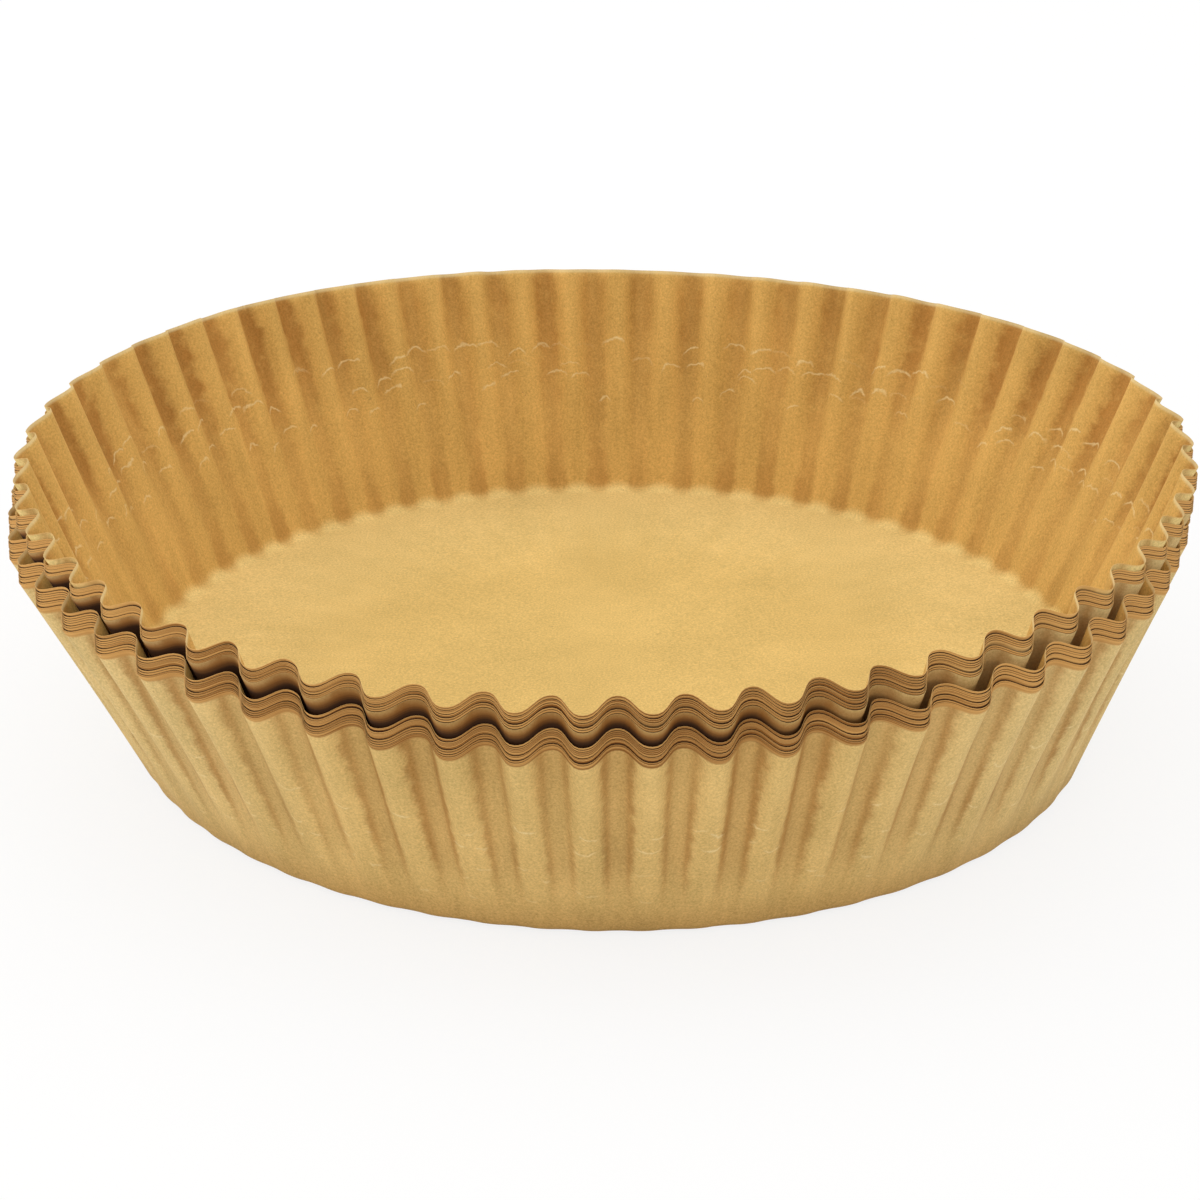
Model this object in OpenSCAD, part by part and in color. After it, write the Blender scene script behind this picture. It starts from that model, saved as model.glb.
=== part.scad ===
// A stack of round fluted paper liners for a fryer basket, nested in two bundles.
// Every liner is one sheet: a flat floor and a leaning wall pressed into flutes.
// The frame stands on the table with +Z up and its origin under the middle of the floor.

/* [Liner] */
// Rim diameter, across the outward crests of the flutes
rim_d = 200; // [186:1:260]
// Floor diameter, half way between crest and trough at the foot of the wall
floor_d = 162; // [110:1:174]
// Height of the wall, from the floor to the middle of the rim
wall_h = 39; // [25:1:70]
// Thickness of the paper
paper_t = 0.06; // [0.04:0.01:0.12]

/* [Flutes] */
// Number of flutes round the wall
flutes = 60; // [30:2:72]
// Depth of a flute at the rim, from crest to trough
rim_flute = 3.8; // [2:0.1:6]
// Depth of a flute at the foot of the wall
foot_flute = 0.9; // [0.2:0.1:1.6]
// How much lower the rim lies at an outward crest than at an inward one
rim_dip = 1.2; // [0:0.1:3]
// Half the width of a rounded flute top, in degrees of a 360 degree flute
top_half = 30; // [15:1:40]

/* [Stack] */
// Liners in the lower bundle
lower_count = 9; // [3:1:12]
// Liners in the upper bundle
upper_count = 8; // [3:1:12]
// Air between neighbours in the lower bundle, measured along the radius
lower_air = 0.07; // [0.01:0.01:0.2]
// Air between neighbours in the upper bundle, measured along the radius
upper_air = 0.05; // [0.01:0.01:0.2]
// Height left between the bundles on the side where the upper one seats
seat_clear = 1.3; // [0.6:0.1:4]
// Tilt of the upper bundle, with its +X side high
upper_tilt = 0.5; // [0:0.1:2]

/* [Hidden] */
rim_r = (rim_d - rim_flute) / 2;
foot_r = floor_d / 2;
pitch_angle = 360 / flutes;

// A wave of 1 is an outward crest and -1 is an inward one.
function rim_radius(wave) = rim_r + wave * rim_flute / 2;
function foot_radius(wave) = foot_r + wave * foot_flute / 2;
function rim_height(wave) = wall_h - wave * rim_dip / 2;
function wall_slope(wave) =
    (rim_radius(wave) - foot_radius(wave)) / rim_height(wave);

// The paper leans with the wall and turns along the flank of a flute, so its
// width along the radius is more than its thickness.
lean = atan((rim_r - foot_r) / wall_h);
flank_run = 2 * PI * rim_r / flutes * (180 - 2 * top_half) / 360;
flank_angle = atan(rim_flute / flank_run);
paper_run = paper_t / (cos(lean) * cos(flank_angle));

// Least slope of any face of the wall: it sets how far nested liners rise.
least_slope = (rim_radius(-1) - foot_radius(1)) / rim_height(-1);
lower_rise = (paper_run + lower_air) / least_slope;
upper_rise = (paper_run + upper_air) / least_slope;
tilt_drop = rim_d / 2 * sin(upper_tilt);
upper_base = (lower_count - 1) * lower_rise + paper_run / least_slope
    + seat_clear + tilt_drop;

// Phase in degrees of a flute and wave of each point along the rim and the foot
RIM_STEPS = [[-top_half, 1], [top_half, 1], [180 - top_half, -1], [180 + top_half, -1]];
FOOT_STEPS = [[0, 1], [180, -1]];
rim_n = len(RIM_STEPS) * flutes;
foot_n = len(FOOT_STEPS) * flutes;

function polar(r, angle, z) = [r * cos(angle), r * sin(angle), z];
function flute_turn(k, phase) = (k + phase / 360) * pitch_angle;

function rim_ring(inset) = [
    for (k = [0 : flutes - 1], s = RIM_STEPS)
        polar(rim_radius(s[1]) - inset, flute_turn(k, s[0]), rim_height(s[1]))
];
function foot_ring(inset, z) = [
    for (k = [0 : flutes - 1], s = FOOT_STEPS)
        polar(foot_radius(s[1]) - inset + z * wall_slope(s[1]), flute_turn(k, s[0]), z)
];

// Faces of one skin of the wall, seen from outside: r and f are the first
// points of its rim ring and its foot ring. A flute has two tops and two flanks.
function rim_at(r, i) = r + i % rim_n;
function foot_at(f, i) = f + i % foot_n;
function skin_faces(r, f) = [
    for (k = [0 : flutes - 1])
        let (a = 4 * k, b = 2 * k)
            each [
                [foot_at(f, b), rim_at(r, a), rim_at(r, a + 1)],
                [foot_at(f, b), rim_at(r, a + 1), rim_at(r, a + 2)],
                [foot_at(f, b), rim_at(r, a + 2), foot_at(f, b + 1)],
                [foot_at(f, b + 1), rim_at(r, a + 2), rim_at(r, a + 3)],
                [foot_at(f, b + 1), rim_at(r, a + 3), foot_at(f, b + 2)],
                [foot_at(f, b + 2), rim_at(r, a + 3), rim_at(r, a + 4)]
            ]
];
function turned(faces) = [for (t = faces) [t[0], t[2], t[1]]];

// The cut edge of the paper, between the rims of the outer and the inner skin
function edge_faces(outer, inner) = [
    for (i = [0 : rim_n - 1])
        each [
            [rim_at(outer, i), rim_at(inner, i), rim_at(inner, i + 1)],
            [rim_at(outer, i), rim_at(inner, i + 1), rim_at(outer, i + 1)]
        ]
];
// A floor seen from below, as a fan round its middle point
function floor_faces(middle, f) = [
    for (i = [0 : foot_n - 1]) [middle, foot_at(f, i), foot_at(f, i + 1)]
];

// One liner as a closed sheet, standing with its floor at z = 0
module liner() {
    outer_foot = 2 * rim_n;
    inner_foot = outer_foot + foot_n;
    outer_middle = inner_foot + foot_n;
    polyhedron(
        points = concat(
            rim_ring(0), rim_ring(paper_run),
            foot_ring(0, 0), foot_ring(paper_run, paper_t),
            [[0, 0, 0], [0, 0, paper_t]]
        ),
        faces = concat(
            skin_faces(0, outer_foot),
            turned(skin_faces(rim_n, inner_foot)),
            edge_faces(0, rim_n),
            floor_faces(outer_middle, outer_foot),
            turned(floor_faces(outer_middle + 1, inner_foot))
        ),
        convexity = 8
    );
}

// Liner i of the lower bundle, with 1 at the outside of the stack
module lower_liner(i) {
    shade = i == 1 ? "#c9a96c" : "#b78a4c";
    color(shade) translate([0, 0, (i - 1) * lower_rise]) liner();
}

// Liner i of the upper bundle, with the last one lining the inside of the stack
module upper_liner(i) {
    shade = i == upper_count ? "#dfbd7c" : "#b98c50";
    color(shade)
        translate([0, 0, upper_base + wall_h])
            rotate([0, -upper_tilt, 0])
                translate([0, 0, (i - 1) * upper_rise - wall_h])
                    liner();
}

for (i = [1 : lower_count])
    lower_liner(i);
for (i = [1 : upper_count])
    upper_liner(i);
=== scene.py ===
"""Dresses a packed stack of fluted paper liners in pressed paper and lights it on a white table.

Every liner is one closed sheet, worked out on a grid that runs round the stack and outward from
the middle of the floor, through the rounded corner and up the fluted wall to the cut rim.
"""

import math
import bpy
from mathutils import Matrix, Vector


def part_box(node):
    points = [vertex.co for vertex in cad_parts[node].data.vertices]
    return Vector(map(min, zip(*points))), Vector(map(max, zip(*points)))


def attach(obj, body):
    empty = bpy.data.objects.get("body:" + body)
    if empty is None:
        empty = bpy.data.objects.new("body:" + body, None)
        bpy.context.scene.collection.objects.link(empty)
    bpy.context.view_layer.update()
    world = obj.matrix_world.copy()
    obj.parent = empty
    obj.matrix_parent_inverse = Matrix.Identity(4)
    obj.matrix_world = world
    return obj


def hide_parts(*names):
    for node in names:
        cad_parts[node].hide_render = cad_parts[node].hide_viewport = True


bl_info = {
    "name": "Fluted liner stack",
    "version": (1, 0, 0),
    "blender": (4, 5, 0),
    "location": "3D View > Sidebar > Liners",
    "description": "Builds the pressed paper of a nested stack of round fluted liners",
    "category": "Add Mesh",
}

from typing import NamedTuple

import bpy
import numpy as np
from bpy.props import FloatProperty, FloatVectorProperty, IntProperty, PointerProperty
from bpy.types import Operator, Panel, PropertyGroup
from mathutils import Matrix, Vector

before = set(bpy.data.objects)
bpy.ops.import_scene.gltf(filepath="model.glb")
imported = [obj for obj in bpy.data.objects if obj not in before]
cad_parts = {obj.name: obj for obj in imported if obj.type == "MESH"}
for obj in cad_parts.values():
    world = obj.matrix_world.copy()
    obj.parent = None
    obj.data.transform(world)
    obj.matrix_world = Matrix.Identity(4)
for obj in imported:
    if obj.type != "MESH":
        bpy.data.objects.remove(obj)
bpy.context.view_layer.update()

MM = 0.001
BODY = "root"


def numbered(prefix):
    """The frame's nodes whose names start with prefix, in the order of the number at their end."""
    names = [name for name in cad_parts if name.startswith(prefix)]
    return sorted(names, key=lambda name: int(name[len(prefix):]))


LOWER = numbered("lower_liner_")
UPPER = numbered("upper_liner_")
OUTER_LINER = LOWER[0]
TOP_LINER = UPPER[-1]


def floor_height(name):
    """Height of the underside of a node's floor, at the vertex nearest to the stack's axis."""
    co = np.array([v.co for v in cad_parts[name].data.vertices])
    middle = np.hypot(co[:, 0], co[:, 1]) < MM
    return float(co[middle, 2].min())


# Height above the floor's middle within which a tilted floor's points still lie
FLOOR_REACH = 2 * MM


def floor_slope(name):
    """Rise of a node's floor for each metre towards +X, from its lowest points near the foot."""
    co = np.array([v.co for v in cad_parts[name].data.vertices])
    low = co[:, 2] < floor_height(name) + FLOOR_REACH
    slope, _ = np.polyfit(co[low, 0], co[low, 2], 1)
    return float(slope)


# How far the rounded crests stay inside the solids' rim
RIM_INSET = 0.25 * MM
RIM_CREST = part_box(OUTER_LINER)[1].x - RIM_INSET

# The camera stands this far round the stack from the -Y axis, in degrees.
VIEW_TURN = 1.8

# How the rims have slumped. Each entry is a number of lobes round the stack, their size in mm,
# and the heading of the first lobe in degrees from the photograph's right-hand side.
UPPER_OUTLINE = ((1, 0.5, 170), (2, 0.9, 54), (3, 1.8, 24), (4, 0.9, 16))
LOWER_OUTLINE = ((0, -0.38, 0), (1, 1.26, -150.9), (2, 0.74, 74.4), (3, 0.62, -55.9), (4, 0.44, 26.2))
TOP_RIM_HEIGHT = ((1, 1.0, 101), (2, 0.3, -22), (3, 0.5, 42))
SEAT_RIM_HEIGHT = ((1, 0.3, 200), (2, 0.1, 105))
OUTER_RIM_HEIGHT = ((1, 0.1, 90), (2, 0.6, 90), (3, 0.8, 77))

# How far the flutes lie from an even spacing, in radians of a flute, with headings as above
FLUTE_DRIFT = (
    (0, 4.73, 0), (1, 4.26, -159), (2, 2.18, -46), (3, 0.87, 42), (4, 0.47, -41), (5, 0.65, 4),
)

# Slow random swings round the stack: a seed, and the waves that each of the cosines makes in a turn
WANDER_WAVES = (3, (9, 14, 23))
LEAN_WAVES = (8, (7, 12, 19))
SWELL_WAVES = (5, (4, 9, 13, 21, 29))
SWAY_WAVES = (6, (17, 26, 41))
GAP_WAVES = (2, 3, 7, 11)

# Their sizes: how far flutes stand off their place, in radians of a flute, how strong the second
# ridge is, how much a flute's depth changes, how far the wall sways along the radius, and how much
# the gap between two rims changes
WANDER_SIZE = 0.1
LEAN_SIZE = 0.06
SWELL_SIZE = 0.09
SWAY_SIZE = 0.16 * MM
GAP_SIZE = 0.3

# How far the swaying turns round the stack from foot to rim, in radians
SWAY_TWIST = 0.03

# How a flute's depth grows with the level
DEPTH_POWER = 1.4

# How much smaller the rims' radius is at the sides, in mm
SIDE_PINCH = 0.35

# The bundles' gap seeds and their wide gaps, counted from the outside, with a wide gap's weight
LOWER_SEED = 70
UPPER_SEED = 40
LOWER_WIDE = (1, 3, 7)
UPPER_WIDE = (2,)
WIDE_WEIGHT = 1.9

# Over this length the lower rims' own outline and the upper bundle's push blend into each other.
RADIUS_BLEND = 0.3 * MM

# Height of the strip below the outermost rim that counts as its own
FIRST_STRIP = 0.5 * MM


class LinerPaper(PropertyGroup):
    """Sizes of one liner."""

    flutes: IntProperty(name="Flutes", description="Number of flutes round the wall", default=60, min=12)
    thickness: FloatProperty(
        name="Thickness", description="Thickness of the paper", default=0.05 * MM, unit="LENGTH", precision=5
    )
    foot_radius: FloatProperty(
        name="Foot radius", description="Radius of the floor", default=81 * MM, unit="LENGTH"
    )
    rim_flute: FloatProperty(
        name="Flute depth at the rim", description="From crest to trough", default=3.8 * MM, unit="LENGTH"
    )
    foot_flute: FloatProperty(
        name="Flute depth at the foot", description="From crest to trough", default=0.25 * MM, unit="LENGTH"
    )
    side_shallow: FloatProperty(
        name="Shallower sides", description="Share of the flutes' depth lost at the sides", default=0.33,
        subtype="FACTOR", min=0.0, max=1.0,
    )
    rim_dip: FloatProperty(
        name="Rim dip",
        description="How much lower the rim is at an outward crest than at an inward one",
        default=1.3 * MM,
        unit="LENGTH",
    )
    crest_roundness: FloatProperty(
        name="Crest roundness", description="Higher values broaden the crests", default=1.15, min=0.1, max=1.5
    )
    corner_crest: FloatProperty(
        name="Corner at a crest",
        description="Half the length of the corner where a flute runs outward",
        default=2.0 * MM,
        unit="LENGTH",
    )
    corner_fold: FloatProperty(
        name="Corner at a fold",
        description="Half the length of the corner where a flute runs inward",
        default=2.1 * MM,
        unit="LENGTH",
    )


class StackForm(PropertyGroup):
    """How the liners lie in each other."""

    wall_height: FloatProperty(
        name="Wall height",
        description="From a floor to the middle of its rim",
        default=39 * MM,
        unit="LENGTH",
    )
    stack_rise: FloatProperty(
        name="Stack rise",
        description="How far the top liner's rim lies above the outer liner's",
        default=9.1 * MM,
        unit="LENGTH",
    )
    lower_band: FloatProperty(
        name="Lower edge band",
        description="Height of the lower bundle's cut edges at the front",
        default=2.85 * MM,
        unit="LENGTH",
    )
    upper_band: FloatProperty(
        name="Upper edge band",
        description="Mean height of the upper bundle's cut edges",
        default=3.8 * MM,
        unit="LENGTH",
    )
    fan: FloatProperty(
        name="Fan", description="How much more the edges spread at the sides", default=0.7 * MM, unit="LENGTH"
    )
    bundle_gap: FloatProperty(
        name="Bundle gap",
        description="Least air between the bundles, along the radius",
        default=0.4 * MM,
        unit="LENGTH",
    )
    top_lift: FloatProperty(
        name="Top liner's lift",
        description="How far the top liner rides above its bundle at the sides",
        default=0.9 * MM,
        unit="LENGTH",
    )


class PaperColours(PropertyGroup):
    """Tones of the paper, as linear colours."""

    floor: FloatVectorProperty(
        name="Floor", description="Smooth paper of the floor", subtype="COLOR", default=(0.70, 0.475, 0.155)
    )
    halo: FloatVectorProperty(
        name="Floor's edge",
        description="Paler ring round the floor",
        subtype="COLOR",
        default=(0.82, 0.61, 0.245),
    )
    # The inner wall is the floor's own paper; its darker, more orange tone is painted shade.
    wall: FloatVectorProperty(
        name="Inner wall", description="Paper inside the wall", subtype="COLOR", default=(0.63, 0.383, 0.108)
    )
    outside: FloatVectorProperty(
        name="Outer wall", description="Paper outside the wall", subtype="COLOR", default=(0.65, 0.445, 0.163)
    )
    # Painted shade: this tint darkens the grooves, the flanks and the foot where they lie in shade; it is not
    # a tint of the paper.
    fold: FloatVectorProperty(
        name="Fold", description="Tint of the pressed folds", subtype="COLOR", default=(0.66, 0.53, 0.42)
    )
    crease: FloatVectorProperty(
        name="Crease", description="Whitened creases", subtype="COLOR", default=(0.83, 0.66, 0.34)
    )
    # Partly the cut edges' own brown and partly painted shade between the snug sheets; also the first, brown
    # stage of the painted shade behind the lower bundle.
    edge: FloatVectorProperty(
        name="Cut edge",
        description="Paper just below a cut edge",
        subtype="COLOR",
        default=(0.25, 0.092, 0.016),
    )
    # Painted highlight on the lit cut edges, over the cut fibres' own paler tone.
    edge_light: FloatVectorProperty(
        name="Bright edge",
        description="Fibres that catch the light",
        subtype="COLOR",
        default=(0.66, 0.35, 0.105),
    )
    # Painted shade where one sheet goes down behind the next.
    tuck_shade: FloatVectorProperty(
        name="Tucked line",
        description="The line where one sheet tucks behind the next",
        subtype="COLOR",
        default=(0.05, 0.018, 0.004),
    )
    shade: FloatVectorProperty(
        name="Gap shade",
        description="Deep in the gap between the bundles",
        subtype="COLOR",
        default=(0.03, 0.01, 0.002),
    )
    speck: FloatVectorProperty(
        name="Speck", description="Dark fibres in the paper", subtype="COLOR", default=(0.30, 0.17, 0.06)
    )


class StudioLook(PropertyGroup):
    """Lamps and camera of the stage."""

    sky: FloatProperty(name="Sky", description="Strength of the surroundings", default=0.85)
    overhead: FloatProperty(name="Overhead", description="Power of the overhead lamp in watts", default=4.0)
    right: FloatProperty(name="Right", description="Power of the right lamp in watts", default=1.2)
    left: FloatProperty(name="Left", description="Power of the left lamp in watts", default=3.3)
    front: FloatProperty(name="Front", description="Power of the front lamp in watts", default=2.5)
    lens: FloatProperty(name="Lens", description="Focal length in mm", default=103.65)
    camera_back: FloatProperty(
        name="Camera distance", description="From the stack's axis", default=0.5425, unit="LENGTH"
    )
    camera_up: FloatProperty(
        name="Camera height", description="Above the table", default=0.2538, unit="LENGTH"
    )
    camera_dip: FloatProperty(
        name="Camera dip", description="Below the horizontal", default=math.radians(23.27), unit="ROTATION"
    )
    camera_swing: FloatProperty(
        name="Camera swing", description="To the left", default=math.radians(0.12), unit="ROTATION"
    )
    camera_roll: FloatProperty(
        name="Camera roll", description="About the line of sight", default=math.radians(0.36), unit="ROTATION"
    )


COLUMNS_PER_FLUTE = 16


def lobes(angle, terms):
    """Sum of size times the cosine of count times the angle past each term's heading."""
    seen = angle - math.radians(VIEW_TURN)
    total = np.zeros_like(angle)
    for count, size, heading in terms:
        total = total + size * np.cos(count * (seen - math.radians(heading)))
    return total


def drift(angle, seed, counts):
    """Slow random swing of about 1: the sum of one cosine for each count, at a seeded phase, over
    the square root of their number."""
    phases = np.random.default_rng(seed).uniform(0, 2 * math.pi, len(counts))
    waves = [np.cos(count * angle + phase) for count, phase in zip(counts, phases)]
    return sum(waves) / math.sqrt(len(counts))


def flute_wave(paper, angle):
    """1 at an outward crest and -1 at an inward one: the sine of a cosine, which broadens both,
    with the flutes drifting a little and a weak second ridge coming and going."""
    turn = paper.flutes * angle + lobes(angle, FLUTE_DRIFT) + WANDER_SIZE * drift(angle, *WANDER_WAVES)
    lean = LEAN_SIZE * drift(angle, *LEAN_WAVES) * np.sin(2 * turn)
    sharp = paper.crest_roundness
    return np.sin(sharp * np.cos(turn)) / math.sin(sharp) + lean


def smooth_max(a, b, blend):
    """The larger of a and b, rounded where they cross: their mean plus half a softened difference."""
    return (a + b + np.sqrt((a - b) ** 2 + blend**2)) / 2


def side_share(angle):
    """0 at the front and back of the stack and 1 at its sides: the squared cosine of the angle."""
    return np.cos(angle - math.radians(VIEW_TURN)) ** 2


class SheetForm(NamedTuple):
    """Foot and rim of one liner. What belongs to the rim are arrays over the angles."""

    angle: np.ndarray
    floor: float  # height of the floor's underside in its middle
    slope: float  # rise of the floor for each metre towards +X
    rim_height: np.ndarray  # half way between a crest and a trough
    rim_radius: np.ndarray  # half way between a crest and a trough
    spacing: np.ndarray  # rise from the outer neighbour's rim


def gap_shares(angle, count, seed, wide):
    """Shares of a band between count rims, as running totals from 0 to 1: each gap has a weight,
    larger for those listed in wide, that swells and fades slowly round the stack."""
    gaps = []
    for i in range(count - 1):
        weight = WIDE_WEIGHT if i in wide else 1.0
        gaps.append(weight * (1 + GAP_SIZE * drift(angle, seed + i, GAP_WAVES).clip(-1, 1)))
    running = np.cumsum([np.zeros_like(angle)] + gaps, axis=0)
    return running / running[-1]


def rim_radius(angle, outline):
    """Mean radius of a rim: the frame's crest less half a flute, plus the lobes of the outline,
    less the pinch at the sides."""
    paper = bpy.context.scene.liner_paper
    slump = lobes(angle, outline) - SIDE_PINCH * side_share(angle)
    return RIM_CREST - paper.rim_flute / 2 + slump * MM


def upper_rims(angle):
    """Heights of the upper bundle's rims: the lowest one and shares of the band above it, with
    the top liner's own rim last."""
    stack = bpy.context.scene.stack_form
    low = stack.wall_height + stack.stack_rise - stack.upper_band + MM * lobes(angle, SEAT_RIM_HEIGHT)
    top = stack.wall_height + stack.stack_rise + MM * lobes(angle, TOP_RIM_HEIGHT)
    lift = stack.top_lift * side_share(angle)
    shares = gap_shares(angle, len(UPPER), UPPER_SEED, UPPER_WIDE)
    heights = low + (top - lift - low) * shares
    heights[-1] = top
    return heights


def lower_rims(angle):
    """Heights of the lower bundle's rims, which fan out towards the sides."""
    stack = bpy.context.scene.stack_form
    low = stack.wall_height + MM * lobes(angle, OUTER_RIM_HEIGHT)
    band = stack.lower_band + stack.fan * side_share(angle)
    return low + band * gap_shares(angle, len(LOWER), LOWER_SEED, LOWER_WIDE)


def lower_radius(angle, low_rims, high_rims):
    """Radius of the lower rims: its own outline, pushed out to wherever the upper bundle's wall
    needs room at the height of the lower bundle's innermost rim."""
    paper = bpy.context.scene.liner_paper
    stack = bpy.context.scene.stack_form
    seat = floor_height(UPPER[0])
    share = (low_rims[-1] - seat) / (high_rims[0] - seat)
    reach = rim_radius(angle, UPPER_OUTLINE) - paper.foot_radius
    pushed = paper.foot_radius + reach * share + stack.bundle_gap
    return smooth_max(rim_radius(angle, LOWER_OUTLINE), pushed, RADIUS_BLEND)


def sheet_forms(angle):
    """The form of every liner, by its node's name."""
    low_rims = lower_rims(angle)
    high_rims = upper_rims(angle)
    radius_low = lower_radius(angle, low_rims, high_rims)
    radius_high = rim_radius(angle, UPPER_OUTLINE)
    bundles = (
        (LOWER, low_rims, radius_low, low_rims[0] - FIRST_STRIP),
        (UPPER, high_rims, radius_high, low_rims[-1]),
    )
    forms = {}
    for names, rims, radius, neighbour in bundles:
        for name, rim in zip(names, rims):
            spacing = rim - neighbour
            forms[name] = SheetForm(angle, floor_height(name), floor_slope(name), rim, radius, spacing)
            neighbour = rim
    return forms


# Where the middle of every floor lies from the rims' middle, along X and Y
FOOT_SHIFT = (0.8 * MM, 0.2 * MM)

# Length over which a flute fades out on the floor
FLOOR_FADE = 3 * MM


def sheet_points(form, run, turn=0.0):
    """Middle layer of a sheet at each run (rows) and angle (columns), with its wave, its level from
    -1 at the floor's middle through 0 at the foot to 1 at the rim, and its depth below the rim.

    A run of 0 is the floor's middle, 1 the foot and 2 the rim. The floor's line and the wall's
    line are joined by a quadratic curve at the foot, long where a flute runs inward and short
    where it runs outward. Along the radius come the wave times half the flute's depth, which
    fades out on the floor and grows with a power of the level up to the rim, and a slow sway
    that is largest half way up. The rim dips where a flute runs outward, with the level squared.
    The floor tilts with its node's, and its middle lies off the rims'."""
    paper = bpy.context.scene.liner_paper
    angle = form.angle[None, :] + turn
    run = run[:, None]
    wave = flute_wave(paper, angle)
    out = form.rim_radius[None, :] - paper.foot_radius
    up = form.rim_height[None, :] - form.floor - paper.thickness / 2
    length = np.hypot(out, up)
    along = np.where(run < 1, (run - 1) * paper.foot_radius, (run - 1) * length)
    bend = paper.corner_crest + (paper.corner_fold - paper.corner_crest) * (1 - wave) / 2
    curve = (along + bend) ** 2 / (4 * bend)
    climb = np.where(along < -bend, 0, np.where(along > bend, along, curve))
    level = np.clip(run - 1, 0, 1)
    fade = np.clip(1 + along / FLOOR_FADE, 0, 1) ** 2
    swell = 1 + SWELL_SIZE * drift(angle, *SWELL_WAVES) - paper.side_shallow * side_share(angle)
    depth = (paper.foot_flute * fade + (paper.rim_flute - paper.foot_flute) * level**DEPTH_POWER) / 2
    sway = SWAY_SIZE * drift(angle + SWAY_TWIST * level, *SWAY_WAVES) * np.sin(math.pi * level)
    radius = paper.foot_radius + along - climb + climb * out / length + wave * depth * swell + sway
    x = radius * np.cos(angle) + FOOT_SHIFT[0] * (1 - level)
    y = radius * np.sin(angle) + FOOT_SHIFT[1] * (1 - level)
    tilt = form.slope * x * (1 - level)
    dip = wave * paper.rim_dip / 2
    z = form.floor + paper.thickness / 2 + tilt + climb * up / length - dip * level**2
    below = form.rim_height[None, :] - dip - z
    wave, signed_level = np.broadcast_arrays(wave, run - 1)
    return np.stack([x, y, z], axis=-1), wave, signed_level, below


# Step round the stack, in radians, and along the run over which a skin's slope is measured
SLOPE_STEP = 1e-4


def skin(form, run, side):
    """One skin of a sheet: its middle layer moved half the thickness along the normal, which is
    the cross product of the steps round the stack and outward. side is 1 outside and -1 inside."""
    paper = bpy.context.scene.liner_paper
    points, wave, level, below = sheet_points(form, run)
    round_step = sheet_points(form, run, SLOPE_STEP)[0] - sheet_points(form, run, -SLOPE_STEP)[0]
    out_step = sheet_points(form, run + SLOPE_STEP)[0] - sheet_points(form, run - SLOPE_STEP)[0]
    normal = np.cross(round_step, out_step)
    normal /= np.linalg.norm(normal, axis=-1, keepdims=True)
    return points + side * normal * paper.thickness / 2, wave, level, below


def new_mesh(name, rings, poles, values, uv_rows):
    """A closed mesh from rings of points, each joined to the next, and to a pole at both ends.

    values are named arrays with one number for each ring point. Every ring has its own place
    along V, and U runs once round."""
    count, columns = rings.shape[:2]
    first_pole = count * columns
    vertices = np.vstack([rings.reshape(-1, 3), poles])
    ring, column = np.meshgrid(np.arange(count - 1), np.arange(columns), indexing="ij")
    following = (column + 1) % columns
    quads = np.stack(
        [
            ring * columns + column,
            ring * columns + following,
            (ring + 1) * columns + following,
            (ring + 1) * columns + column,
        ],
        axis=-1,
    ).reshape(-1, 4)
    around = np.arange(columns)
    onward = (around + 1) % columns
    last = (count - 1) * columns
    start_fan = np.stack([np.full(columns, first_pole), onward, around], axis=-1)
    end_fan = np.stack([np.full(columns, first_pole + 1), last + around, last + onward], axis=-1)
    mesh = bpy.data.meshes.new(name)
    mesh.from_pydata(vertices.tolist(), [], quads.tolist() + start_fan.tolist() + end_fan.tolist())
    u0, u1 = around / columns, (around + 1) / columns
    v0, v1 = uv_rows[:-1, None], uv_rows[1:, None]
    first, final = uv_rows[0], uv_rows[-1]
    quad_uv = np.stack(np.broadcast_arrays(u0, v0, u1, v0, u1, v1, u0, v1), axis=-1)
    start_uv = np.stack(np.broadcast_arrays(u0, 0.0, u1, first, u0, first), axis=-1)
    end_uv = np.stack(np.broadcast_arrays(u0, 0.0, u0, final, u1, final), axis=-1)
    layer = mesh.uv_layers.new(name="Paper")
    layer.data.foreach_set("uv", np.concatenate([quad_uv.ravel(), start_uv.ravel(), end_uv.ravel()]))
    for key, (grid, at_poles) in values.items():
        attribute = mesh.attributes.new(key, "FLOAT", "POINT")
        attribute.data.foreach_set("value", np.concatenate([grid.ravel(), at_poles]).astype(np.float32))
    return mesh


# What the middle of a floor holds for its depth below the rim and the rim's spacing, in mm
MIDDLE_BELOW = 40
MIDDLE_SPACING = 0.4


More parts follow.
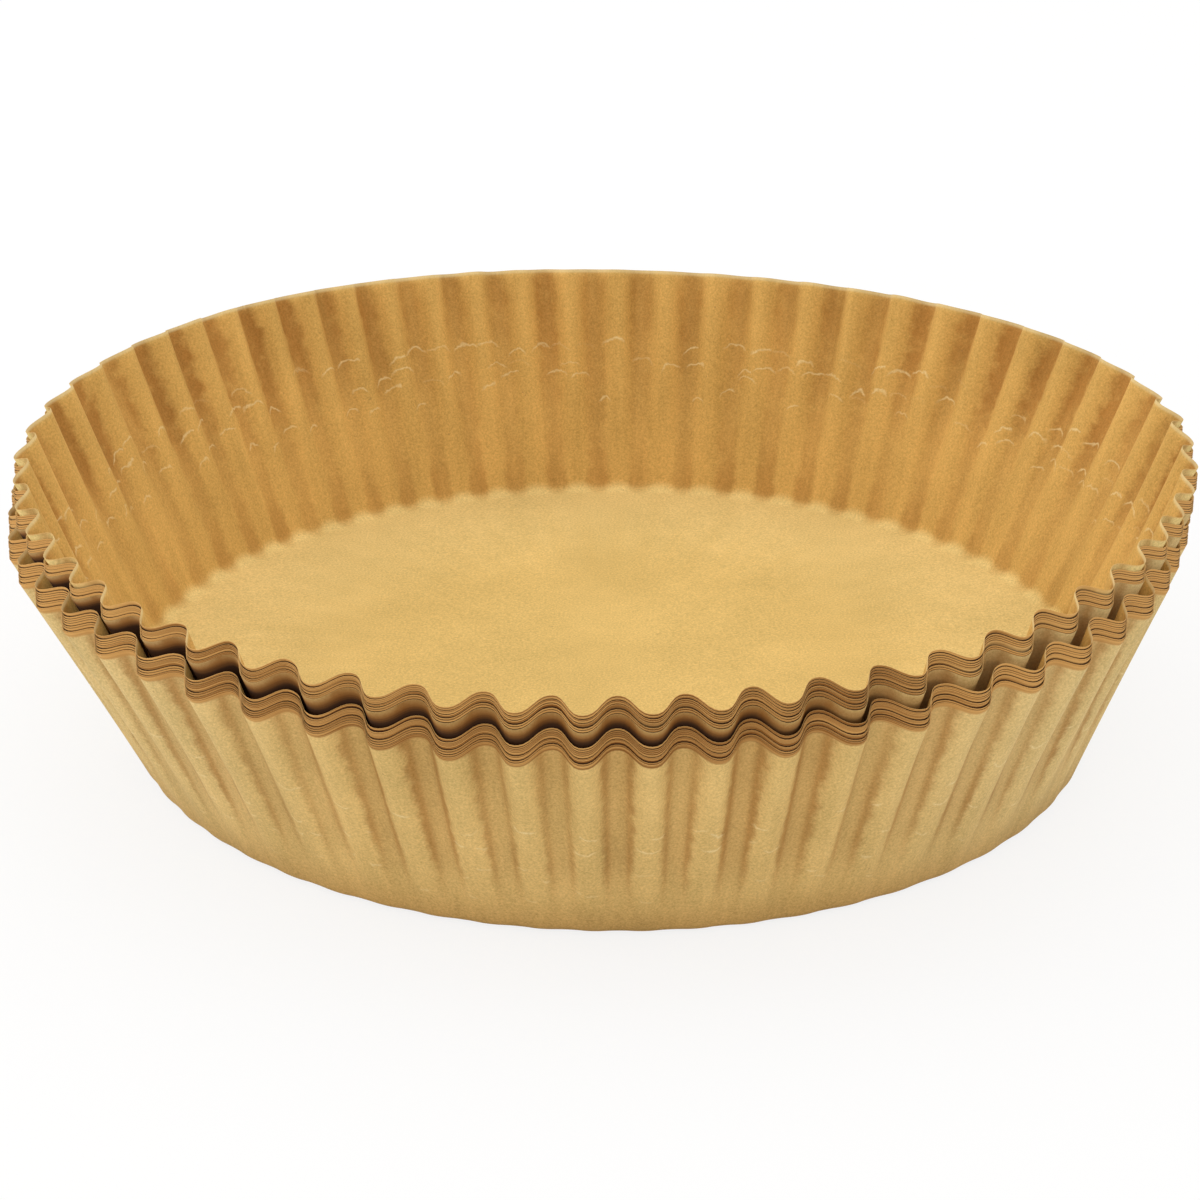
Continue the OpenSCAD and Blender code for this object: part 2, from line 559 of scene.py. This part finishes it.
def build_sheet(name, form, outer_runs, inner_runs):
    """One liner: the outer skin from the floor's middle to the rim, then the inner skin back.
    The cut edge between the two rims is shaded flat. Its attributes tell the paper where it is:
    the wave, the level, the depth below the rim and the rim's spacing in mm, and the face."""
    outer, wave_o, level_o, below_o = skin(form, outer_runs, 1)
    inner, wave_i, level_i, below_i = skin(form, inner_runs, -1)
    rings = np.concatenate([outer, inner[::-1]])
    thickness = bpy.context.scene.liner_paper.thickness
    poles = np.array([(*FOOT_SHIFT, form.floor), (*FOOT_SHIFT, form.floor + thickness)])
    spacing = np.broadcast_to(form.spacing, rings.shape[:2])
    values = {
        "flute": (np.concatenate([wave_o, wave_i[::-1]]), [0, 0]),
        "level": (np.concatenate([level_o, level_i[::-1]]), [-1, -1]),
        "below": (np.concatenate([below_o, below_i[::-1]]) / MM, [MIDDLE_BELOW, MIDDLE_BELOW]),
        "spacing": (spacing / MM, [MIDDLE_SPACING, MIDDLE_SPACING]),
        "outside": (np.concatenate([np.ones_like(wave_o), np.zeros_like(wave_i)]), [1, 0]),
    }
    uv_rows = np.concatenate([outer_runs / 2, inner_runs[::-1] / 2])
    mesh = new_mesh(name, rings, poles, values, uv_rows)
    smooth = np.ones(len(mesh.polygons), bool)
    columns = len(form.angle)
    cut = (len(outer_runs) - 1) * columns
    smooth[cut:cut + columns] = False
    mesh.polygons.foreach_set("use_smooth", smooth)
    mesh.update()
    piece = bpy.data.objects.new(name, mesh)
    bpy.context.scene.collection.objects.link(piece)
    return piece


# How far the corner's rings reach from the foot, both ways
CORNER_REACH = 3.4 * MM


def runs(floor_rows, corner_rows, wall_rows):
    """Runs of a skin's rings: floor rings that close up towards the foot, evenly spaced corner
    rings as far before as past the foot, and evenly spaced wall rings up to the rim."""
    paper = bpy.context.scene.liner_paper
    stack = bpy.context.scene.stack_form
    before = 1 - CORNER_REACH / paper.foot_radius
    after = 1 + CORNER_REACH / stack.wall_height
    floor = before * np.sqrt(np.linspace(0, 1, floor_rows + 1)[1:])
    corner = np.linspace(before, 1, corner_rows + 1)[1:]
    past = np.linspace(1, after, corner_rows + 1)[1:]
    wall = np.linspace(after, 2, wall_rows + 1)[1:]
    return np.concatenate([floor, corner, past, wall])


def stack_angles():
    """Angles of the grid's columns, the same for every liner."""
    columns = COLUMNS_PER_FLUTE * bpy.context.scene.liner_paper.flutes
    return np.arange(columns) * 2 * math.pi / columns


def dress(forms, node, piece_name, material, outer_rows, inner_rows):
    """Builds the sheet that stands for a node and gives it its paper."""
    piece = build_sheet(piece_name, forms[node], runs(*outer_rows), runs(*inner_rows))
    piece.data.materials.append(material)
    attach(piece, BODY)
    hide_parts(node)
    return piece


class Wire:
    """One output socket of a node tree. Arithmetic on it adds Math nodes."""

    def __init__(self, shader, socket):
        self.shader = shader
        self.socket = socket

    def math(self, operation, *others):
        return self.shader.node("ShaderNodeMath", {"operation": operation}, (self, *others))

    def __add__(self, other):
        return self.math("ADD", other)

    __radd__ = __add__

    def __mul__(self, other):
        return self.math("MULTIPLY", other)

    __rmul__ = __mul__

    def __sub__(self, other):
        return self.math("SUBTRACT", other)

    def __rsub__(self, other):
        return self.shader.node("ShaderNodeMath", {"operation": "SUBTRACT"}, (other, self))

    def __truediv__(self, other):
        return self.math("DIVIDE", other)

    def __abs__(self):
        return self.math("ABSOLUTE")

    def __pow__(self, other):
        return self.math("POWER", other)

    def ramp(self, low, high):
        """0 below low and 1 above high, with a smooth step between. low may be the larger."""
        return self.shader.node(
            "ShaderNodeMapRange", {"interpolation_type": "SMOOTHSTEP"}, (self, low, high, 0.0, 1.0)
        )


class Shader:
    """The node tree of a material or world, filled through one method."""

    def __init__(self, owner):
        owner.use_nodes = True
        self.tree = owner.node_tree
        self.tree.nodes.clear()

    def node(self, kind, settings=None, inputs=(), output=0):
        """Adds a node. settings are its own properties; inputs are values or wires, in order or
        by socket name; output is the number or name of the socket that is returned."""
        node = self.tree.nodes.new(kind)
        for key, value in (settings or {}).items():
            setattr(node, key, value)
        pairs = inputs.items() if isinstance(inputs, dict) else enumerate(inputs)
        for key, value in pairs:
            if isinstance(value, Wire):
                self.tree.links.new(value.socket, node.inputs[key])
            else:
                node.inputs[key].default_value = value
        return Wire(self, node.outputs[output]) if len(node.outputs) else None

    def mix(self, factor, a, b, blend="MIX"):
        """Colour a turned towards b by a factor, by the named way of blending."""
        settings = {"data_type": "RGBA", "blend_type": blend}
        return self.node("ShaderNodeMix", settings, {0: factor, 6: a, 7: b}, 2)

    def attribute(self, name):
        """A mesh attribute of the piece, as a number."""
        return self.node("ShaderNodeAttribute", {"attribute_name": name}, output="Fac")

    def vector(self, x, y, z):
        """A vector from its three parts."""
        return self.node("ShaderNodeCombineXYZ", None, (x, y, z))

    def along_x(self, vector):
        """The first part of a vector."""
        return self.node("ShaderNodeSeparateXYZ", None, (vector,))

    def noise(self, vector, scale, detail, roughness):
        """Noise from 0 to 1 about 0.5, with scale waves to each unit of the vector."""
        inputs = {"Vector": vector, "Scale": scale, "Detail": detail, "Roughness": roughness}
        return self.node("ShaderNodeTexNoise", None, inputs)

    def chance(self, number):
        """A random number from 0 to 1 for each value of a number."""
        return self.node("ShaderNodeTexWhiteNoise", {"noise_dimensions": "1D"}, {"W": number})


def rgba(colour):
    """A linear colour with full alpha."""
    return (*colour[:3], 1.0)


class CreaseRow(NamedTuple):
    """One row of pressed crescents, two to a flute, with its lengths in mm."""

    shift: float  # round the stack, in half flutes
    height: float  # above the foot
    spread: float  # of the heights
    width: float  # of a crescent's line
    radius: float  # of a crescent, negative where its ends turn up
    half: float  # half the length of a crescent
    strength: float  # from 0 to 1
    seed: float


INNER_CREASES = (
    CreaseRow(0.0, 28.3, 2.6, 0.32, 2.4, 2.1, 1.0, 3.0),
    CreaseRow(0.31, 24.6, 2.8, 0.30, 2.2, 2.0, 1.0, 17.0),
    CreaseRow(0.62, 20.5, 6.0, 0.28, 1.9, 1.7, 0.9, 31.0),
)
OUTER_CREASES = (
    CreaseRow(0.25, 24.5, 3.0, 0.30, -3.2, 1.9, 1.0, 41.0),
    CreaseRow(0.55, 19.0, 4.5, 0.30, -2.8, 1.7, 1.0, 53.0),
    CreaseRow(0.80, 13.0, 5.0, 0.28, -2.4, 1.4, 0.9, 67.0),
    CreaseRow(0.40, 8.5, 4.0, 0.26, -2.0, 1.2, 0.7, 79.0),
)


class PaperKind(NamedTuple):
    """What sets one paper apart from the others. The numbers run from 0 to 1."""

    name: str
    outer_tone: str = "outside"  # which of the colours its outer face takes
    edges: float = 1.0  # how strongly the strip under a cut edge takes its brown, its painted shade and its painted highlights
    tuck_shade: float = 1.0  # how strong the painted shade is where a sheet goes down behind its neighbour
    gap: float = 0.0  # how strong the painted shade behind the lower bundle is
    inner_creases: tuple = ()
    outer_creases: tuple = ()


OUTER_PAPER = PaperKind("outer_paper", edges=0.9, tuck_shade=0.2, outer_creases=OUTER_CREASES)
NESTED_PAPER = PaperKind("nested_paper")
# The seat paper carries the painted shade of the gap between the bundles.
SEAT_PAPER = PaperKind("seat_paper", edges=0.0, tuck_shade=0.0, gap=1.0)
# Painted light: the top liner's outer face, lit where it rides above its bundle at the sides, takes the paler
# floor tone.
TOP_PAPER = PaperKind("top_paper", outer_tone="floor", inner_creases=INNER_CREASES)

# A wall's length from foot to rim, which turns a level into mm
WALL_LENGTH_MM = 42.6

# How fine each noise is, in waves to the metre
CLOUD_SCALE = 60.0
MOTTLE_SCALE = 330.0
WOBBLE_SCALE = 420.0
SPECK_SCALE = 1100.0
FIBRE_SCALE = 2600.0

# How much the clouds, the streaks up the wall and the fibres change the tone, and the power that
# makes the change larger in blue
CLOUD_TONE = 0.36
STREAK_TONE = 0.40
FIBRE_TONE = 1.05
BLUE_POWER = 1.25

# What the second random number of a crescent adds to its seed
SECOND_SEED = 57.3

# The outside is lit paler and bluer at the sides of the stack.
SIDE_TINT = (1.02, 1.09, 1.28)

ROUGHNESS = 0.75
SPECULAR = 0.15
BUMP_STRENGTH = 0.35
BUMP_HEIGHT = 0.12 * MM


class PaperSurface(Shader):
    """Pressed unbleached paper, whose tone follows the flutes: the folds carry painted shade, and the creases
    are whitened.

    Its wires: place is the point in metres and around counts half flutes. wave, level, below,
    spacing and outside are the mesh's attributes, and up is the level in mm. strip is 0 at the rim
    and 1 where the outer neighbour's rim hides the sheet. sideways is 1 at both sides of the stack
    and right at the right one, in the photograph's sense. on_wall is 0 on the floor and 1 on the
    wall, whose tone reaches down to the floor in the grooves and stops short on the folds."""

    def __init__(self, kind):
        self.kind = kind
        self.colours = bpy.context.scene.paper_colours
        self.material = bpy.data.materials.new(kind.name)
        super().__init__(self.material)
        uv = self.node("ShaderNodeTexCoord", output="UV")
        self.place = self.node("ShaderNodeTexCoord", output="Object")
        self.around = self.along_x(uv) * (2.0 * bpy.context.scene.liner_paper.flutes)
        self.wave = self.attribute("flute")
        self.level = self.attribute("level")
        self.below = self.attribute("below")
        self.spacing = self.attribute("spacing")
        self.outside = self.attribute("outside")
        self.inside = 1 - self.outside
        self.up = self.level * WALL_LENGTH_MM
        self.strip = self.below / self.spacing
        self.sideways = abs(self.along_x(self.place)).ramp(0.03, 0.08)
        self.right = self.along_x(self.place).ramp(0.015, 0.07)
        self.on_wall = (self.level + self.wave * 0.015).ramp(-0.02, 0.045)
        self.cloud = self.noise(self.place, CLOUD_SCALE, 3.0, 0.6)
        self.fibre = self.noise(self.place, FIBRE_SCALE, 3.0, 0.75)
        streak_place = self.vector(self.around * 1.7, self.up * 0.035, self.outside * 3.0)
        self.streak = self.noise(streak_place, 1.0, 3.0, 0.65)
        line_place = self.vector(self.around * 0.16, self.below * 4.6, self.spacing * 4.0)
        self.lines = self.noise(line_place, 1.0, 2.0, 0.6)

    def flat_tone(self):
        """Floor with a paler ring at its edge, inner wall and outer face, before the folds' painted shade.
        The inner wall's tone is darker than the floor's, though it is the same paper: that is painted shade.
        """
        colours = self.colours
        halo = (self.level + self.wave * 0.02).ramp(-0.55, 0.0)
        floor_tone = self.mix(halo * 0.7, rgba(colours.floor), rgba(colours.halo))
        inner_tone = self.mix(self.on_wall, floor_tone, rgba(colours.wall))
        return self.mix(self.outside, inner_tone, rgba(getattr(colours, self.kind.outer_tone)))

    def fold_shaded(self, tone):
        """The tone with painted shade on the folds. Inside, it fills the grooves, most near the rim and the
        foot, and more at the sides of the stack high on the wall. Outside, it lies on the flanks between two
        crests and round the foot. All of it is patchy round the stack and broken up by a fine mottle. Last,
        painted light makes the outside paler and bluer at the sides."""
        wave, level, sideways = self.wave, self.level, self.sideways
        patch_place = self.vector(self.around * 0.37, self.up * 0.022, self.outside * 5.0)
        patch = self.noise(patch_place, 1.0, 2.0, 0.6).ramp(0.28, 0.62)
        mottle = (self.noise(self.place, MOTTLE_SCALE, 4.0, 0.65) - 0.5) * 2.4
        rise = level.ramp(0.30, 0.80) * 0.45 + level.ramp(0.30, 0.03) * 0.35 + 0.5
        drop = level.ramp(0.2, 0.02) * 0.35
        groove_shade = (wave + drop + mottle).ramp(-0.35, 1.15) * rise * (patch * 0.65 + 0.35)
        groove_shade = groove_shade * (0.8 + sideways * 0.5) * (1 - sideways * level.ramp(0.75, 0.2) * 0.5)
        flank_shade = (wave + mottle * 0.7).ramp(0.50, -0.45) * (1 - wave.ramp(-0.45, -1.0) * 0.55)
        flank_shade = flank_shade * level.ramp(0.10, 0.45) * (patch * 0.5 + 0.5)
        foot = level.ramp(0.25, 0.0) * 0.5
        folds = groove_shade * self.inside * self.on_wall + (flank_shade + foot) * self.outside
        tone = self.mix(folds, tone, rgba(self.colours.fold), "MULTIPLY")
        return self.mix(sideways * self.outside, tone, rgba(SIDE_TINT), "MULTIPLY")

    def grained(self, tone):
        """The tone with clouds, streaks up the wall, fibres and a few dark specks."""
        clouds = (self.cloud - 0.5) * CLOUD_TONE
        streaks = (self.streak - 0.5) * STREAK_TONE * self.on_wall
        grain = 1 + clouds + streaks + (self.fibre - 0.5) * FIBRE_TONE
        grain_colour = self.node("ShaderNodeCombineColor", None, (grain, grain, grain**BLUE_POWER))
        tone = self.mix(1.0, tone, grain_colour, "MULTIPLY")
        speck = self.noise(self.place, SPECK_SCALE, 1.0, 0.4).ramp(0.78, 0.84)
        return self.mix(speck * 0.5, tone, rgba(self.colours.speck))

    def crescents(self, row, wobble):
        """Mask of one row of crescents: the top of a thin ring, cut off at half its own width, at a
        height, a length, a slant and a strength random for each one."""
        along = self.around + row.shift
        cell = along.math("FLOOR")
        chance = self.chance(cell + row.seed)
        second = self.chance(cell + row.seed + SECOND_SEED)
        across = (along - cell - 0.5 + (second - 0.5) * 0.5) * (3.4 + chance * 2.6)
        slant = across * (second - 0.5) * 0.7
        rise = self.up - row.height + (chance - 0.5) * row.spread + slant + wobble
        down = rise + row.radius
        ring = (across * across + down * down).math("SQRT")
        line = abs(ring - abs(row.radius)).ramp(row.width, 0.0)
        ends = abs(across).ramp(row.half, row.half * 0.5)
        near = abs(rise).ramp(abs(row.radius), abs(row.radius) * 0.8)
        return line * ends * near * second.ramp(0.15, 0.55)

    def creases(self):
        """Mask of all crescents: the inner rows show inside, the outer ones on the crests outside."""
        wobble = (self.noise(self.place, WOBBLE_SCALE, 2.0, 0.6) - 0.5) * 2.2
        crests = self.outside * self.wave.ramp(-0.5, 0.5)
        total = 0.0
        for rows, face in ((self.kind.inner_creases, self.inside), (self.kind.outer_creases, crests)):
            for row in rows:
                total = total + self.crescents(row, wobble) * row.strength * face
        return total

    def whitened(self, tone, creases):
        """The tone with whitened creases and a pale lip just inside the rim."""
        crease_tone = rgba(self.colours.crease)
        tone = self.mix(creases * (0.05 + self.fibre * 1.1), tone, crease_tone)
        lip = self.below.ramp(0.8, 0.25) * self.inside
        return self.mix(lip * (0.25 + self.streak * 0.6), tone, crease_tone)

    def edged(self, tone):
        """The tone with the strip of the sheet that stands above its outer neighbour: the cut edge's own
        brown, deepened by painted shade where the sheets sit snug, with fine painted highlight lines along
        it, painted shade where it tucks in behind the neighbour, and paler at the cut, from the fibres' own
        tone and a painted highlight."""
        colours, below, spacing, strip = self.colours, self.below, self.spacing, self.strip
        snug = spacing.ramp(1.05, 0.7) * self.outside * self.kind.edges
        # Painted highlight lines along the band, more of them at the sides of the stack.
        bright = (self.lines + self.sideways * 0.15).ramp(0.40, 0.60)
        band = self.mix(bright, rgba(colours.edge), rgba(colours.edge_light))
        tone = self.mix(below.ramp(1.0, 0.5) * snug, tone, band)
        tucked_shade = strip.ramp(0.45, 0.9) * strip.ramp(1.8, 1.3) * (spacing + self.lines * 0.4).ramp(0.30, 0.64)
        tone = self.mix(tucked_shade * snug * self.kind.tuck_shade, tone, rgba(colours.tuck_shade))
        # The cut itself: its fibres' paler tone and a painted highlight.
        cut = below.ramp(0.16, 0.06) * self.outside * self.kind.edges
        return self.mix(cut * 0.4, tone, rgba(colours.edge_light))

    def shaded(self, tone):
        """Painted shade behind the lower bundle: the tone turned brown and then dark, less so on the right,
        where the stack is lit more.
        """
        behind = self.outside * self.kind.gap
        brown_shade = self.strip.ramp(-0.6, 0.6) * (0.97 - self.right * 0.72) * behind
        tone = self.mix(brown_shade, tone, rgba(self.colours.edge))
        deep_shade = (self.strip + self.lines * 0.2 - self.right).ramp(0.30, 1.0) * (1 - self.right * 0.75) * behind
        return self.mix(deep_shade, tone, rgba(self.colours.shade))

    def finished(self):
        """The material, with fibres, clouds and creases as bump."""
        creases = self.creases()
        tone = self.whitened(self.grained(self.fold_shaded(self.flat_tone())), creases)
        tone = self.shaded(self.edged(tone))
        relief = self.fibre * 0.10 + self.cloud * 0.15 + creases * 0.8
        bump_inputs = {"Strength": BUMP_STRENGTH, "Distance": BUMP_HEIGHT, "Height": relief}
        bump = self.node("ShaderNodeBump", None, bump_inputs)
        surface = self.node(
            "ShaderNodeBsdfPrincipled",
            None,
            {"Base Color": tone, "Roughness": ROUGHNESS, "Normal": bump, "Specular IOR Level": SPECULAR},
        )
        self.node("ShaderNodeOutputMaterial", None, (surface,))
        return self.material


# Rings on the floor, on each side of the corner and on the wall: of a face that shows, of the back
# of such a sheet, of the sheets next to the outermost and the top one, and of the other ones
FINE_ROWS = (9, 8, 26)
BACK_ROWS = (1, 8, 6)
NEXT_ROWS = (1, 4, 6)
PLAIN_ROWS = (1, 3, 3)


class LINERS_OT_outer_liner(Operator):
    """Builds the outermost liner, whose outer wall carries the stack's look from the side"""

    bl_idname = "liners.outer_liner"
    bl_label = "Outer liner"

    def execute(self, context):
        forms = sheet_forms(stack_angles())
        material = PaperSurface(OUTER_PAPER).finished()
        dress(forms, OUTER_LINER, "outer_liner", material, FINE_ROWS, BACK_ROWS)
        return {"FINISHED"}


class LINERS_OT_nested_liners(Operator):
    """Builds the liners between the outermost and the top one, which show their cut edges"""

    bl_idname = "liners.nested_liners"
    bl_label = "Nested liners"

    def execute(self, context):
        forms = sheet_forms(stack_angles())
        material = PaperSurface(NESTED_PAPER).finished()
        seat = PaperSurface(SEAT_PAPER).finished()
        for node in LOWER[1:] + UPPER[:-1]:
            paper = seat if node == UPPER[0] else material
            rows = NEXT_ROWS if node in (LOWER[1], UPPER[-2]) else PLAIN_ROWS
            dress(forms, node, node + "_paper", paper, rows, rows)
        return {"FINISHED"}


class LINERS_OT_top_liner(Operator):
    """Builds the top liner, which lines the inside of the stack"""

    bl_idname = "liners.top_liner"
    bl_label = "Top liner"

    def execute(self, context):
        forms = sheet_forms(stack_angles())
        material = PaperSurface(TOP_PAPER).finished()
        dress(forms, TOP_LINER, "top_liner", material, BACK_ROWS, FINE_ROWS)
        return {"FINISHED"}


def area_lamp(name, power, size, place, aim):
    """A square lamp at a place, facing the point that it is aimed at."""
    light = bpy.data.lights.new(name, "AREA")
    light.energy = power
    light.size = size
    lamp = bpy.data.objects.new(name, light)
    bpy.context.scene.collection.objects.link(lamp)
    turn = (Vector(place) - Vector(aim)).to_track_quat("Z", "Y").to_matrix().to_4x4()
    lamp.matrix_world = Matrix.Translation(place) @ turn
    return lamp


# Share of plain white in what the camera sees of the table
TABLE_GLOW = 0.82


def table_material():
    """White table top: the camera sees it partly as plain white, so that its shadow stays soft."""
    material = bpy.data.materials.new("table_white")
    shader = Shader(material)
    matt = shader.node("ShaderNodeBsdfDiffuse", None, {"Color": (0.9, 0.9, 0.9, 1.0)})
    glow = shader.node("ShaderNodeEmission", None, {"Color": (1.0, 1.0, 1.0, 1.0), "Strength": 1.0})
    path = shader.node("ShaderNodeLightPath", output="Is Camera Ray")
    seen = shader.node("ShaderNodeMixShader", None, (path * TABLE_GLOW, matt, glow))
    shader.node("ShaderNodeOutputMaterial", None, (seen,))
    return material


TABLE_HALF = 3.0
TABLE_DROP = 0.02 * MM
SKY_COLOUR = (1.0, 0.99, 0.97)
SENSOR_WIDTH_MM = 36.0
NEAREST_SEEN = 0.01

# The lamps, by the name of their power: the size, the place and the point that they face, in metres
LAMPS = {
    "overhead": (1.4, (0.0, 0.45, 1.3), (0.0, 0.0, 0.0)),
    "left": (0.8, (-1.1, 0.15, 0.55), (0.0, 0.0, 0.02)),
    "right": (0.8, (1.1, 0.15, 0.55), (0.0, 0.0, 0.02)),
    "front": (1.2, (-0.3, -1.3, 0.6), (0.0, 0.0, 0.02)),
}


class LINERS_OT_stage(Operator):
    """Lays the white table and sets the lamps, the surroundings and the camera"""

    bl_idname = "liners.stage"
    bl_label = "Stage"

    def execute(self, context):
        look = context.scene.studio_look
        sides = ((-1, -1), (1, -1), (1, 1), (-1, 1))
        corners = [(x * TABLE_HALF, y * TABLE_HALF, -TABLE_DROP) for x, y in sides]
        mesh = bpy.data.meshes.new("table")
        mesh.from_pydata(corners, [], [(0, 1, 2, 3)])
        mesh.materials.append(table_material())
        table = bpy.data.objects.new("table", mesh)
        context.scene.collection.objects.link(table)

        world = bpy.data.worlds.new("studio")
        context.scene.world = world
        sky = Shader(world)
        background = sky.node("ShaderNodeBackground", None, (rgba(SKY_COLOUR), look.sky))
        sky.node("ShaderNodeOutputWorld", None, (background,))

        for name, (size, place, aim) in LAMPS.items():
            area_lamp(name, getattr(look, name), size, place, aim)

        lens = bpy.data.cameras.new("camera")
        lens.sensor_width = SENSOR_WIDTH_MM
        lens.lens = look.lens
        lens.clip_start = NEAREST_SEEN
        camera = bpy.data.objects.new("camera", lens)
        context.scene.collection.objects.link(camera)
        camera.matrix_world = (
            Matrix.Rotation(math.radians(VIEW_TURN), 4, "Z")
            @ Matrix.Translation((0.0, -look.camera_back, look.camera_up))
            @ Matrix.Rotation(look.camera_swing, 4, "Z")
            @ Matrix.Rotation(math.pi / 2 - look.camera_dip, 4, "X")
            @ Matrix.Rotation(look.camera_roll, 4, "Z")
        )
        context.scene.camera = camera
        context.scene.view_settings.view_transform = "Standard"
        return {"FINISHED"}


class LINERS_PT_panel(Panel):
    """Lists the operators and sizes in the 3D view's sidebar"""

    bl_idname = "LINERS_PT_panel"
    bl_label = "Fluted liner stack"
    bl_space_type = "VIEW_3D"
    bl_region_type = "UI"
    bl_category = "Liners"

    def draw(self, context):
        for operator in OPERATORS:
            self.layout.operator(operator.bl_idname)
        for group in (context.scene.liner_paper, context.scene.stack_form,
                      context.scene.paper_colours, context.scene.studio_look):
            box = self.layout.box()
            for key in group.bl_rna.properties.keys():
                if key not in ("rna_type", "name"):
                    box.prop(group, key)


OPERATORS = (LINERS_OT_outer_liner, LINERS_OT_nested_liners, LINERS_OT_top_liner, LINERS_OT_stage)
GROUPS = {
    "liner_paper": LinerPaper,
    "stack_form": StackForm,
    "paper_colours": PaperColours,
    "studio_look": StudioLook,
}


def register():
    for group in GROUPS.values():
        bpy.utils.register_class(group)
    for operator in OPERATORS:
        bpy.utils.register_class(operator)
    bpy.utils.register_class(LINERS_PT_panel)
    for key, group in GROUPS.items():
        setattr(bpy.types.Scene, key, PointerProperty(type=group))


def unregister():
    for key in GROUPS:
        delattr(bpy.types.Scene, key)
    bpy.utils.unregister_class(LINERS_PT_panel)
    for operator in OPERATORS:
        bpy.utils.unregister_class(operator)
    for group in GROUPS.values():
        bpy.utils.unregister_class(group)


def main():
    """Registers the classes and builds the stage and the pieces."""
    register()
    bpy.ops.liners.stage()
    bpy.ops.liners.outer_liner()
    bpy.ops.liners.nested_liners()
    bpy.ops.liners.top_liner()


if __name__ == "__main__":
    main()
